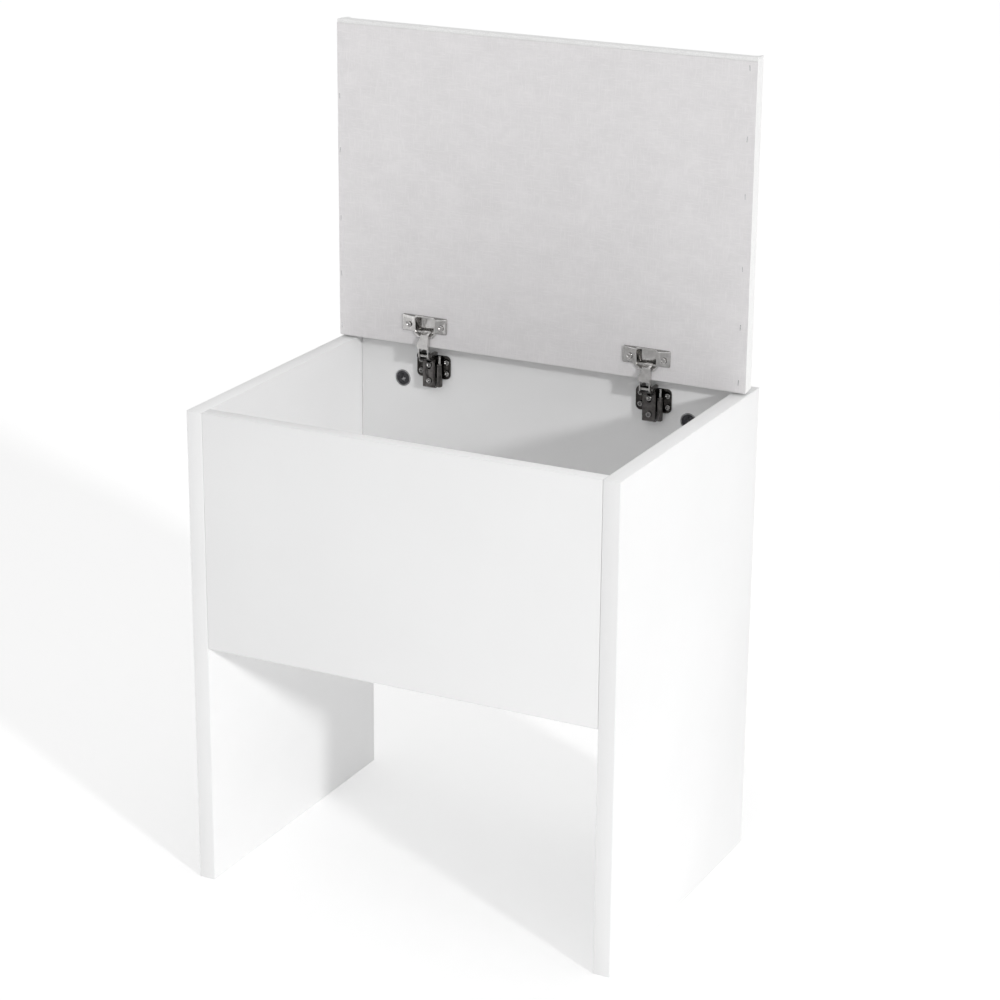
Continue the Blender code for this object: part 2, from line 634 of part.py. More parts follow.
def build_damper(side, x):
    """Soft-close cylinder beside the arm with a plunger that slides in its bore."""
    centre_x = x + DAMPER_X
    centre_y = ARM_REAR_Y - DAMPER_RADIUS
    low, high = DAMPER_Z
    body = rod(f"damper_cylinder_{side}", (centre_x, centre_y, low), (centre_x, centre_y, high),
               DAMPER_RADIUS, 20)
    bore = rod(f"damper_bore_{side}", (centre_x, centre_y, low + DAMPER_FLOOR),
               (centre_x, centre_y, high + MM), DAMPER_BORE, 14, CUTTERS)
    cut(body, bore)
    paint(body, NICKEL)
    plunger = rod(f"damper_plunger_{side}", (centre_x, centre_y, PLUNGER_Z[0]),
                  (centre_x, centre_y, PLUNGER_Z[1]), PLUNGER_RADIUS, 14)
    set_origin(plunger, (centre_x, centre_y, PLUNGER_Z[0]))
    paint(plunger, STEEL)


def main():
    back = build_carcass()
    board, dust = build_lid()
    for side, x in HINGE_X.items():
        build_cup(side, x, board, dust)
        build_link(side, x)
        arm = build_arm(side, x)
        build_plate(side, x, arm, back)
        build_damper(side, x)


main()
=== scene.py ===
"""Looks of the flip-top storage stool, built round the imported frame.

Metres, the frame's own axes: +X right, +Y back, +Z up. The lid stands open at rest.
"""

import json
import math

import bmesh
import bpy
from mathutils import Matrix, Vector, noise


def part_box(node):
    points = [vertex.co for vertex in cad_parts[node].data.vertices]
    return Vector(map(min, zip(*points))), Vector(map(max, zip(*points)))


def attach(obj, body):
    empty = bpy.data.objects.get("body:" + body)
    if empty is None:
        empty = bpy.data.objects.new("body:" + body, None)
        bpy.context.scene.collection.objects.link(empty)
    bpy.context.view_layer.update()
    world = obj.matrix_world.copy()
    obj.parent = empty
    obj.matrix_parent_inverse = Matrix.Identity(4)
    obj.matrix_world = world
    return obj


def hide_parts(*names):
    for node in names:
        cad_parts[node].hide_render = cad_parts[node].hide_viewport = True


MM = 0.001

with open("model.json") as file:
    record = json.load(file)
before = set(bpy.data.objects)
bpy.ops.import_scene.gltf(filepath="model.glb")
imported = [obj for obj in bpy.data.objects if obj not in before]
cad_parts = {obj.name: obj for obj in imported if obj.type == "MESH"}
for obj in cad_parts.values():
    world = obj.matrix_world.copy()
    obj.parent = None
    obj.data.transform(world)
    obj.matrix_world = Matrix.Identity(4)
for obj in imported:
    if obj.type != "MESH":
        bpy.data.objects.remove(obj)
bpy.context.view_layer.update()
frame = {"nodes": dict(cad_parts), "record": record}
SIDES = ("left", "right")
LID = "lid"
CARCASS = "carcass"

# ---- view and light --------------------------------------------------------------------------
CAMERA_PLACE = (1.0416, -2.0331, 1.1346)
CAMERA_AZIMUTH = 26.6256
CAMERA_ELEVATION = 19.1202
CAMERA_ROLL = 0.4758
CAMERA_LENS = 100.84
KEY_DIRECTION = (0.837, -0.444, 0.321)
KEY_STRENGTH = 1.17
KEY_ANGLE = 4.2
SKY_HORIZON = 0.272
SKY_ZENITH = 1.28
FLOOR_GLOW = 0.228
BACKDROP = 1.0

# ---- boards ----------------------------------------------------------------------------------
BAND = 0.8 * MM
BAND_ROUND = 0.35 * MM
SEAM_ROUND = 0.10 * MM
POCKET_GAP = 0.3 * MM
CAM_RIM = 0.8 * MM
CAM_SINK = 0.75 * MM
CAM_RING_SINK = 0.45 * MM
CAM_CROSS_DROP = 1.2 * MM
CAM_CROSS_TURN = 0.35
CAM_CROSS = (6.4 * MM, 1.5 * MM, 2.2 * MM)
CAM_DIMPLE_RISE = 3.9 * MM
WELD = 1e-7

# ---- lid -------------------------------------------------------------------------------------
PAD_UNDER = 0.55 * MM
PAD_TRIM = 5.0 * MM
PAD_CROWN = 3.4 * MM
PAD_CUTS = (71, 8)
PAD_EDGE = 1.2 * MM
PAD_CAP = 1.6 * MM
PAD_HELD = 4 * MM
PAD_FADE = 13 * MM
DUST_SHEET = 0.34 * MM
HEM = 11 * MM
STAPLE_INSETS = (2.1 * MM, 6.9 * MM)
STAPLE_ENDS = (8.5 * MM, 5.6 * MM)
STAPLE_STEPS = (0.0, 0.18, 0.37, 0.60, 0.78, 1.0)
STAPLE_HALF = 2.6 * MM
PLEAT_START = 1.6 * MM
PLEAT_END = 6.4 * MM
PLEAT_HEIGHT = 15 * MM
PLEAT_WIDTH = 0.35 * MM
PLEAT_DEPTH = 0.9 * MM
PAD_FACE = 17.2 * MM
PAD_SIDE_INSET = 0.4 * MM
PAD_WAIST = 0.5 * MM
CLOTH_FRAMES = 20
CORE_INSET = 2.2 * MM
CORE_DROP = 0.2 * MM
CLOTH_GRID = (118, 84)
CLOTH_REST = 0.13 * MM
CLOTH_PROUD = 0.05 * MM
PINCH_REACH = 5 * MM
PINCH_DEPTH = 0.12 * MM
STAPLE_PROUD = 0.08 * MM
STAPLE_LEG = 1.6 * MM
STAPLE_WIRE = 0.5 * MM
STAPLE_CORNER = 0.25 * MM
STAPLE_FLAT = 0.35 * MM

# ---- hinges ----------------------------------------------------------------------------------
CUP_SHAPE = ((0.0, 6.6), (2.6, 9.9), (16.4, 10.4), (18.6, 8.4))
CUP_DEPTH = 11.6 * MM
CUP_WALL = 0.8 * MM
CUP_COLLAR = 0.9 * MM
COLLAR_PROUD = 0.22 * MM
RECESS_GAP = 0.25 * MM
CORE_RECESS_GAP = 0.3 * MM
FLANGE_HALF = 22.5 * MM
FLANGE_HEIGHT = 15 * MM
FLANGE_SHEET = 1.0 * MM
FLANGE_CORNER = 1.5 * MM
SCREW_HOLE = 1.9 * MM
HEAD_RADIUS = 2.6 * MM
HEAD_HEIGHT = 1.4 * MM
HEAD_DOME = 0.72
THREAD_TURNS = 7
THREAD_ROOT = 1.2 * MM
THREAD_CREST = 1.55 * MM
EYE_BORE = 1.25 * MM
LINK_SHEET = 1.0 * MM
LINK_REAR = 112.7 * MM
LINK_STEP = 12.5 * MM
LOWER_EYE = 2.4 * MM
UPPER_EYE = 1.9 * MM
HOOD_INNER = 1.35 * MM
WEB_SPAN = (6.6 * MM, 17.4 * MM)
WEB_LEFT = 6.6 * MM
WEB_SLANT = 5.6 * MM
ARM_FACE = 120.3 * MM
ARM_SHEET = 0.9 * MM
ARM_ROUND = 1.2 * MM
ARM_EYE = 2.7 * MM
ARM_BORE = 1.3 * MM
ARM_SHOULDER = 7.5 * MM
SLOT_REACH = {"fixing": 2.2 * MM, "adjusting": 0.5 * MM}
PLATE_CORNER = 4.5 * MM
PLATE_RIM = 1.3 * MM
PLATE_RIM_CORNER = 3.4 * MM
PLATE_SINK = 0.3 * MM
THROUGH = 9 * MM


# ---- mesh helpers ----------------------------------------------------------------------------
def new_object(name, mesh):
    item = bpy.data.objects.new(name, mesh)
    bpy.context.scene.collection.objects.link(item)
    return item


def from_bmesh(name, work):
    bmesh.ops.recalc_face_normals(work, faces=work.faces)
    mesh = bpy.data.meshes.new(name)
    work.to_mesh(mesh)
    work.free()
    return new_object(name, mesh)


def box(name, low, high):
    low = Vector(low)
    high = Vector(high)
    work = bmesh.new()
    bmesh.ops.create_cube(work, size=1.0)
    bmesh.ops.scale(work, vec=high - low, verts=work.verts)
    bmesh.ops.translate(work, vec=(low + high) / 2, verts=work.verts)
    return from_bmesh(name, work)


def rod(name, start, end, radius, sides=40):
    start = Vector(start)
    end = Vector(end)
    span = end - start
    turn = span.to_track_quat("Z", "Y").to_matrix().to_4x4()
    work = bmesh.new()
    bmesh.ops.create_cone(work, cap_ends=True, segments=sides, radius1=radius, radius2=radius,
                          depth=span.length, matrix=Matrix.Translation((start + end) / 2) @ turn)
    return from_bmesh(name, work)


def prism(name, points, low, high, place):
    """Outline in the first two axes of a place matrix, solid from low to high along its third."""
    work = bmesh.new()
    base = [work.verts.new(place @ Vector((x, y, low))) for x, y in points]
    top = [work.verts.new(place @ Vector((x, y, high))) for x, y in points]
    work.faces.new(base)
    work.faces.new(top)
    for index in range(len(points)):
        after = (index + 1) % len(points)
        work.faces.new((base[index], base[after], top[after], top[index]))
    return from_bmesh(name, work)


def facing_front(x=0.0):
    """Outline across and up; depth runs towards the back."""
    return Matrix(((1, 0, 0, x), (0, 0, 1, 0), (0, 1, 0, 0), (0, 0, 0, 1)))


def facing_side(x=0.0):
    """Outline back and up; depth runs along X."""
    return Matrix(((0, 0, 1, x), (1, 0, 0, 0), (0, 1, 0, 0), (0, 0, 0, 1)))


def lathe(name, profile, place, steps=40):
    """Solid of revolution: (radius, height) pairs, closed on the axis or back at the first pair."""
    work = bmesh.new()
    rings = []
    for radius, height in profile:
        if radius < 1e-9:
            rings.append([work.verts.new(place @ Vector((0, 0, height)))])
            continue
        ring = []
        for step in range(steps):
            angle = 2 * math.pi * step / steps
            point = Vector((radius * math.cos(angle), radius * math.sin(angle), height))
            ring.append(work.verts.new(place @ point))
        rings.append(ring)
    for first, second in zip(rings, rings[1:]):
        for step in range(steps):
            after = (step + 1) % steps
            corners = [first[step % len(first)], first[after % len(first)],
                       second[after % len(second)], second[step % len(second)]]
            unique = []
            for corner in corners:
                if corner not in unique:
                    unique.append(corner)
            work.faces.new(unique)
    bmesh.ops.remove_doubles(work, verts=work.verts, dist=WELD)
    return from_bmesh(name, work)


def looking_front(x, y, z):
    """Place whose third axis points to the front."""
    return Matrix(((1, 0, 0, x), (0, 0, -1, y), (0, 1, 0, z), (0, 0, 0, 1)))


def apply_modifiers(item):
    graph = bpy.context.evaluated_depsgraph_get()
    mesh = bpy.data.meshes.new_from_object(item.evaluated_get(graph))
    old = item.data
    item.modifiers.clear()
    item.data = mesh
    bpy.data.meshes.remove(old)
    return item


def combine(target, tools, operation="DIFFERENCE"):
    """Boolean the tools into the target and remove them."""
    for tool in tools:
        step = target.modifiers.new("combine", "BOOLEAN")
        step.operation = operation
        step.solver = "EXACT"
        step.object = tool
    apply_modifiers(target)
    for tool in tools:
        bpy.data.objects.remove(tool, do_unlink=True)
    return target


def soften(item, width, segments=2, angle=32):
    bevel = item.modifiers.new("rounding", "BEVEL")
    bevel.width = width
    bevel.segments = segments
    bevel.limit_method = "ANGLE"
    bevel.angle_limit = math.radians(angle)
    return apply_modifiers(item)


def close_gaps(item):
    """Fill any face that a Boolean cut has left out, so that the piece is one closed body."""
    work = bmesh.new()
    work.from_mesh(item.data)
    rims = [edge for edge in work.edges if edge.is_boundary]
    bmesh.ops.holes_fill(work, edges=rims)
    bmesh.ops.recalc_face_normals(work, faces=work.faces)
    work.to_mesh(item.data)
    work.free()
    return item


def smooth(item, angle=35):
    item.data.polygons.foreach_set("use_smooth", [True] * len(item.data.polygons))
    item.data.set_sharp_from_angle(angle=math.radians(angle))
    return item


def arc(centre, radius, start, end, steps=8):
    points = []
    for index in range(steps):
        angle = math.radians(start + (end - start) * index / (steps - 1))
        points.append((centre[0] + radius * math.cos(angle), centre[1] + radius * math.sin(angle)))
    return points


def rounded_rectangle(low, high, radius, steps=8):
    points = []
    points += arc((high[0] - radius, high[1] - radius), radius, 0, 90, steps)
    points += arc((low[0] + radius, high[1] - radius), radius, 90, 180, steps)
    points += arc((low[0] + radius, low[1] + radius), radius, 180, 270, steps)
    points += arc((high[0] - radius, low[1] + radius), radius, 270, 360, steps)
    return points


# ---- materials -------------------------------------------------------------------------------
class Shader:
    """Short way to write a node material on the object's own coordinates."""

    def __init__(self, name, colour, roughness, metallic=0.0, specular=0.5):
        self.material = bpy.data.materials.new(name)
        self.material.use_nodes = True
        self.tree = self.material.node_tree
        self.surface = self.tree.nodes["Principled BSDF"]
        self.surface.inputs["Base Color"].default_value = (*colour, 1.0)
        self.surface.inputs["Roughness"].default_value = roughness
        self.surface.inputs["Metallic"].default_value = metallic
        self.surface.inputs["Specular IOR Level"].default_value = specular
        self.coordinates = self.tree.nodes.new("ShaderNodeTexCoord").outputs["Object"]
        self.bump_out = None

    def link(self, source, target):
        self.tree.links.new(source, target)

    def stretched(self, scale, turn=(0.0, 0.0, 0.0)):
        node = self.tree.nodes.new("ShaderNodeMapping")
        node.inputs["Scale"].default_value = scale
        node.inputs["Rotation"].default_value = turn
        self.link(self.coordinates, node.inputs["Vector"])
        return node.outputs["Vector"]

    def noise(self, scale, detail=3.0, rough=0.5, vector=None, distortion=0.0):
        node = self.tree.nodes.new("ShaderNodeTexNoise")
        node.inputs["Scale"].default_value = scale
        node.inputs["Detail"].default_value = detail
        node.inputs["Roughness"].default_value = rough
        node.inputs["Distortion"].default_value = distortion
        self.link(vector or self.coordinates, node.inputs["Vector"])
        return node.outputs["Fac"]

    def cells(self, scale, feature="F1", randomness=1.0):
        node = self.tree.nodes.new("ShaderNodeTexVoronoi")
        node.feature = feature
        node.inputs["Scale"].default_value = scale
        node.inputs["Randomness"].default_value = randomness
        self.link(self.coordinates, node.inputs["Vector"])
        return node.outputs["Distance"]

    def range(self, value, low, high, to_low, to_high):
        node = self.tree.nodes.new("ShaderNodeMapRange")
        for key, number in (("From Min", low), ("From Max", high), ("To Min", to_low), ("To Max", to_high)):
            node.inputs[key].default_value = number
        self.link(value, node.inputs["Value"])
        return node.outputs["Result"]

    def maths(self, operation, first, second):
        node = self.tree.nodes.new("ShaderNodeMath")
        node.operation = operation
        for index, value in enumerate((first, second)):
            if isinstance(value, (int, float)):
                node.inputs[index].default_value = value
            else:
                self.link(value, node.inputs[index])
        return node.outputs[0]

    def mix(self, factor, first, second):
        node = self.tree.nodes.new("ShaderNodeMix")
        node.data_type = "RGBA"
        self.link(factor, node.inputs["Factor"])
        for socket, value in (("A", first), ("B", second)):
            target = [s for s in node.inputs if s.name == socket and s.type == "RGBA"][0]
            if isinstance(value, tuple):
                target.default_value = (*value, 1.0)
            else:
                self.link(value, target)
        return [s for s in node.outputs if s.type == "RGBA"][0]

    def tint(self, output):
        self.link(output, self.surface.inputs["Base Color"])
        return self

    def rough(self, value, low, high):
        self.link(self.range(value, 0.3, 0.7, low, high), self.surface.inputs["Roughness"])
        return self

    def bump(self, height, distance, strength=1.0):
        node = self.tree.nodes.new("ShaderNodeBump")
        node.inputs["Distance"].default_value = distance
        node.inputs["Strength"].default_value = strength
        self.link(height, node.inputs["Height"])
        if self.bump_out is not None:
            self.link(self.bump_out, node.inputs["Normal"])
        self.bump_out = node.outputs["Normal"]
        self.link(self.bump_out, self.surface.inputs["Normal"])
        return self

    def set(self, key, value):
        self.surface.inputs[key].default_value = value
        return self


def scaled(colour, factor):
    return tuple(min(1.0, channel * factor) for channel in colour)


def make_laminate(name, colour, roughness):
    """White melamine paper: satin, faint pearl grain, the slight waviness of pressed board."""
    s = Shader(name, colour, roughness)
    drift = s.noise(5, 4)
    speck = s.noise(900, 2, 0.6)
    shade = s.mix(s.range(drift, 0.35, 0.65, 0, 1), scaled(colour, 0.985), scaled(colour, 1.012))
    s.tint(s.mix(s.range(speck, 0.55, 0.8, 0, 0.35), shade, scaled(colour, 0.96)))
    s.rough(s.noise(60, 4), roughness - 0.05, roughness + 0.06)
    s.bump(s.noise(9, 2), 0.00025, 0.35)
    s.bump(s.noise(1500, 3, 0.6), 0.00003, 0.5)
    return s.material


def make_leather(name, colour):
    """White leather-look cover: fine pebbled grain, creases between the pebbles, soft sheen."""
    s = Shader(name, colour, 0.46)
    pebble = s.cells(950, "SMOOTH_F1")
    crease = s.cells(430, "DISTANCE_TO_EDGE")
    soft = s.noise(14, 4, 0.55)
    groove = s.range(crease, 0.0, 0.12, 0.0, 1.0)
    body = s.mix(s.range(soft, 0.35, 0.65, 0, 1), scaled(colour, 0.975), scaled(colour, 1.01))
    s.tint(s.mix(groove, scaled(colour, 0.93), body))
    s.rough(s.noise(220, 3), 0.40, 0.54)
    s.bump(soft, 0.0004, 0.3)
    s.bump(s.range(pebble, 0.0, 0.8, 1.0, 0.0), 0.00018, 0.55)
    s.bump(groove, 0.00012, 0.5)
    s.set("Sheen Weight", 0.08)
    s.set("Sheen Roughness", 0.4)
    return s.material


def make_nonwoven(name, colour):
    """Thin grey non-woven cloth: random fibres, cloudy density, pressed bond points."""
    s = Shader(name, colour, 0.94, specular=0.2)
    cloud = s.noise(26, 5, 0.62, s.stretched((1.0, 1.0, 1.7)), 0.3)
    blotch = s.noise(120, 4, 0.6)
    fibre_a = s.noise(800, 2, 0.7, s.stretched((0.12, 1.0, 1.0), (0, 0.35, 0)))
    fibre_b = s.noise(800, 2, 0.7, s.stretched((1.0, 1.0, 0.12), (0, 0.5, 0)))
    fibres = s.maths("MAXIMUM", fibre_a, fibre_b)
    bonds = s.range(s.cells(640, randomness=0.15), 0.12, 0.3, 0.0, 1.0)
    low = scaled(colour, 0.968)
    high = scaled(colour, 1.03)
    base = s.mix(s.range(cloud, 0.34, 0.66, 0, 1), low, high)
    base = s.mix(s.range(blotch, 0.4, 0.75, 0, 0.5), base, scaled(colour, 0.95))
    base = s.mix(s.range(fibres, 0.5, 0.75, 0, 0.55), base, scaled(colour, 1.12))
    s.tint(s.mix(bonds, scaled(colour, 0.93), base))
    s.rough(cloud, 0.88, 0.98)
    s.bump(fibres, 0.00012, 0.6)
    s.bump(bonds, 0.00008, 0.5)
    s.set("Sheen Weight", 0.15)
    s.set("Sheen Roughness", 0.6)
    return s.material


def make_metal(name, colour, roughness, streak=0.0, pitting=0.3, painted_reflection_patches=0.1):
    """Plated steel: light and dark tint patches that stand in for painted reflections, die lines, tiny
    pits.
    """
    s = Shader(name, colour, roughness, 1.0)
    cloud = s.noise(240, 4, 0.6)
    lines = s.noise(1600, 2, 0.5, s.stretched((0.06, 1.0, 1.0)))
    # painted reflection: noise patches lighten and darken the base colour in place of uneven reflections
    s.tint(s.mix(s.range(cloud, 0.38, 0.62, 0, 1), scaled(colour, 1 - painted_reflection_patches), scaled(colour, 1 + painted_reflection_patches)))
    s.rough(s.noise(420, 3, 0.6), max(0.04, roughness - 0.06), roughness + 0.08)
    if streak:
        s.bump(lines, 0.00002, streak)
    s.bump(s.noise(700, 4, 0.65), 0.00004, pitting)
    return s.material


def make_zinc(name, colour):
    """Dark die-cast zinc: sandy casting skin, brighter in random patches."""
    s = Shader(name, colour, 0.42, 0.75)
    sand = s.noise(1400, 3, 0.7)
    patch = s.noise(260, 3, 0.6)
    s.tint(s.mix(s.range(patch, 0.5, 0.75, 0, 1), colour, scaled(colour, 1.7)))
    s.rough(sand, 0.34, 0.55)
    s.bump(sand, 0.00006, 0.6)
    return s.material


def make_fibreboard(name):
    s = Shader(name, (0.58, 0.46, 0.33), 0.82)
    fluff = s.noise(500, 5, 0.7)
    s.tint(s.mix(s.range(fluff, 0.35, 0.65, 0, 1), (0.62, 0.50, 0.37), (0.50, 0.39, 0.27)))
    s.rough(fluff, 0.76, 0.9)
    s.bump(fluff, 0.0001, 0.5)
    return s.material


def make_foam(name):
    s = Shader(name, (0.86, 0.83, 0.70), 0.92)
    pores = s.cells(900)
    s.tint(s.mix(s.range(pores, 0.1, 0.5, 0, 1), (0.70, 0.66, 0.52), (0.88, 0.85, 0.73)))
    s.rough(pores, 0.86, 0.97)
    s.bump(pores, 0.0003, 0.8)
    return s.material


def make_beech(name):
    s = Shader(name, (0.72, 0.55, 0.36), 0.68)
    rings = s.noise(900, 4, 0.6, s.stretched((0.05, 1.0, 1.0)))
    s.tint(s.mix(s.range(rings, 0.35, 0.65, 0, 1), (0.78, 0.61, 0.42), (0.58, 0.42, 0.26)))
    s.rough(rings, 0.6, 0.76)
    s.bump(rings, 0.00008, 0.5)
    return s.material


def make_floor(name):
    s = Shader(name, (0.9, 0.9, 0.9), 0.75, specular=0.15)
    drift = s.noise(1.4, 3)
    s.tint(s.mix(s.range(drift, 0.35, 0.65, 0, 1), (0.895, 0.895, 0.895), (0.905, 0.905, 0.905)))
    s.set("Emission Color", (1.0, 1.0, 1.0, 1.0))
    s.set("Emission Strength", FLOOR_GLOW)
    return s.material


LAMINATE = make_laminate("white_laminate", (0.90, 0.90, 0.90), 0.42)
BANDING = make_laminate("white_banding", (0.89, 0.89, 0.89), 0.36)
LEATHER = make_leather("white_leather", (0.905, 0.905, 0.90))
NONWOVEN = make_nonwoven("grey_nonwoven", (0.80, 0.784, 0.79))
BRIGHT_NICKEL = make_metal("bright_nickel", (0.64, 0.63, 0.62), 0.09, 0.2, painted_reflection_patches=0.09)
# painted reflection: near-black base colour stands in for the dark surroundings the plates reflect
NICKEL_PAINTED_DARK_REFLECTION = make_metal("nickel_painted_dark_reflection", (0.06, 0.056, 0.053), 0.14, 0.2, painted_reflection_patches=0.2)
# painted reflection: base colour darkened to stand in for the dark reflections on the screw heads
SCREW_STEEL = make_metal("screw_steel", (0.30, 0.295, 0.29), 0.16, 0.2, painted_reflection_patches=0.1)
# painted reflection: darkened base colour stands in for the dark reflections on the arms and dampers
NICKEL_PAINTED_MID_REFLECTION = make_metal("nickel_painted_mid_reflection", (0.13, 0.124, 0.12), 0.11, 0.2, painted_reflection_patches=0.22)
ZINC_STEEL = make_metal("zinc_steel", (0.60, 0.59, 0.58), 0.26, 0.4)
STAPLE_STEEL = make_metal("staple_steel", (0.55, 0.55, 0.56), 0.3, 0.3)
DARK_ZINC = make_zinc("dark_zinc", (0.06, 0.06, 0.065))
# painted highlight: lighter zinc for the cam rims and cross-recess floors stands in for highlights and
# glints
ZINC_PAINTED_HIGHLIGHT = make_zinc("zinc_painted_highlight", (0.30, 0.30, 0.305))
SLOT_MATERIALS = {
    "white_laminate": LAMINATE,
    "white_leather": LEATHER,
    "grey_nonwoven": NONWOVEN,
    "foam": make_foam("cream_foam"),
    "fibreboard": make_fibreboard("fibreboard"),
    "beech": make_beech("beech"),
    "nickel_steel": BRIGHT_NICKEL,
    "zinc_steel": ZINC_STEEL,
    "dark_zinc": DARK_ZINC,
}


def dress(item, material, slot, body, *nodes):
    """Give a new piece its material and body, and let it stand for CAD nodes; the slot argument is not
    used.
    """
    item.data.materials.clear()
    item.data.materials.append(material)
    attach(item, body)
    if nodes:
        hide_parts(*nodes)
    return item


def dress_cad_nodes():
    """Better materials for the CAD nodes that stay in view or inside the joints."""
    for part in frame["record"]["subparts"]:
        node = frame["nodes"][part["node"]]
        node.data.materials.clear()
        node.data.materials.append(SLOT_MATERIALS[part["material_slot"]])
        if part["material_slot"] in ("nickel_steel", "zinc_steel", "dark_zinc", "beech"):
            smooth(node, 40)


# ---- carcass ---------------------------------------------------------------------------------
def cam_pockets(where):
    """Tools for the round pockets that a panel's cam discs sit in."""
    pockets = []
    for side in SIDES:
        low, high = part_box(f"{where}_cam_{side}")
        middle = (low + high) / 2
        radius = (high.x - low.x) / 2 + POCKET_GAP
        near, far = low.y - POCKET_GAP, high.y + POCKET_GAP
        pockets.append(rod("pocket", (middle.x, near, middle.z), (middle.x, far, middle.z), radius, 48))
    return pockets


def banded_board(name, node, bands, pockets=()):
    """Board whose listed edges ("+y", "-z" and so on) are closed with a thin applied band."""
    low, high = (Vector(corner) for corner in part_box(node))
    core_low = low.copy()
    core_high = high.copy()
    for edge in bands:
        axis = "xyz".index(edge[1])
        if edge[0] == "+":
            core_high[axis] -= BAND
        else:
            core_low[axis] += BAND
    core = soften(box(name, core_low, core_high), SEAM_ROUND, 2)
    if pockets:
        combine(core, pockets)
    dress(smooth(core), LAMINATE, "white_laminate", CARCASS, node)
    taken_low = core_low.copy()
    taken_high = core_high.copy()
    for edge in bands:
        axis = "xyz".index(edge[1])
        strip_low = taken_low.copy()
        strip_high = taken_high.copy()
        if edge[0] == "+":
            strip_low[axis] = core_high[axis]
            strip_high[axis] = high[axis]
            taken_high[axis] = high[axis]
        else:
            strip_low[axis] = low[axis]
            strip_high[axis] = core_low[axis]
            taken_low[axis] = low[axis]
        label = {"+x": "right", "-x": "left", "+y": "rear", "-y": "front", "+z": "top", "-z": "under"}[edge]
        strip = smooth(soften(box(f"{name}_band_{label}", strip_low, strip_high), BAND_ROUND, 3))
        dress(strip, BANDING, "white_laminate", CARCASS)


def build_boards():
    banded_board("side_board_left", "left_side_panel", ("+y", "-y", "+z"))
    banded_board("side_board_right", "right_side_panel", ("+y", "-y", "+z"))
    banded_board("front_board", "front_panel", ("+z", "-z"), cam_pockets("front"))
    banded_board("back_board", "back_panel", ("+z", "-z"), cam_pockets("back"))
    banded_board("bottom_board", "bottom_panel", ("+y", "-y"))


def cross_tools(name, place, length, width, depth):
    """Two crossing tapered bars that cut a cross recess; the place's third axis points outwards."""
    tools = []
    for turn in (0.0, 90.0):
        half = length / 2
        outline = [(-half, 0.4 * MM), (half, 0.4 * MM), (half * 0.85, 0.0), (half * 0.3, -depth),
                   (-half * 0.3, -depth), (-half * 0.85, 0.0)]
        spin = place @ Matrix.Rotation(math.radians(turn), 4, "Z")
        upright = Matrix(((1, 0, 0, 0), (0, 0, 1, 0), (0, 1, 0, 0), (0, 0, 0, 1)))
        tools.append(prism(f"{name}_{turn:.0f}", outline, -width / 2, width / 2, spin @ upright))
    return tools


def build_cams():
    """Cam discs: lighter rim as a painted highlight, sunk dark face with a ring, arrow dimple and a cross
    recess with a bright floor as a painted glint.
    """
    for where in ("front", "back"):
        for side in SIDES:
            node = f"{where}_cam_{side}"
            low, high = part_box(node)
            middle = (low + high) / 2
            radius = (high.x - low.x) / 2
            face_y = low.y if where == "back" else high.y
            depth = high.y - low.y
            place = looking_front(middle.x, face_y, middle.z)
            if where == "front":
                place = place @ Matrix.Rotation(math.pi, 4, "X")
            inner = radius - CAM_RIM
            body = [(0.0, -depth), (inner, -depth), (inner, -CAM_SINK), (4.9 * MM, -CAM_SINK),
                    (4.6 * MM, -CAM_RING_SINK), (3.9 * MM, -CAM_RING_SINK), (3.6 * MM, -CAM_SINK),
                    (0.0, -CAM_SINK)]
            cam = lathe(f"cam_{where}_{side}", body, place)
            cross_place = place @ Matrix.Translation((0, -CAM_CROSS_DROP, -0.7 * MM))
            cross_place = cross_place @ Matrix.Rotation(CAM_CROSS_TURN, 4, "Z")
            tools = cross_tools("cross", cross_place, *CAM_CROSS)
            dimple = place @ Matrix.Translation((0, CAM_DIMPLE_RISE, 0.0))
            tools.append(lathe("dimple", [(0.0, -1.6 * MM), (0.5 * MM, -1.5 * MM), (0.9 * MM, -1.0 * MM),
                                          (0.9 * MM, 0.5 * MM), (0.0, 0.5 * MM)], dimple, 20))
            combine(cam, tools)
            smooth(close_gaps(soften(cam, 0.10 * MM, 1, 45)), 40)
            dress(cam, DARK_ZINC, "dark_zinc", CARCASS, node)
            # painted highlight: a lighter ring of zinc round the disc stands in for light catching its rim
            ring = [(inner - 0.3 * MM, -1.6 * MM), (radius, -1.6 * MM), (radius, -0.35 * MM),
                    (radius - 0.3 * MM, 0.0), (inner, 0.0), (inner - 0.3 * MM, -0.6 * MM)]
            highlight_rim = lathe(f"cam_highlight_rim_{where}_{side}", ring + ring[:1], place)
            smooth(highlight_rim, 40)
            dress(highlight_rim, ZINC_PAINTED_HIGHLIGHT, "dark_zinc", CARCASS)
            # painted glint: a bright plug at the bottom of the cross recess stands in for light shining in
            # the recess
            plug = [(0.0, -2.9 * MM), (2.9 * MM, -2.8 * MM), (2.9 * MM, -1.7 * MM), (0.0, -1.5 * MM)]
            floor_place = place @ Matrix.Translation((0, -CAM_CROSS_DROP, 0))
            floor = lathe(f"cam_recess_glint_{where}_{side}", plug, floor_place, 24)
            dress(smooth(floor, 40), ZINC_PAINTED_HIGHLIGHT, "dark_zinc", CARCASS)


# ---- lid -------------------------------------------------------------------------------------
def lid_extent():
    """Low and high corners of the lid's cover at rest, and the y of its underside."""
    low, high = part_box("lid_cover")
    dust_low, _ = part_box("lid_dust_cover")
    return low, high, dust_low.y


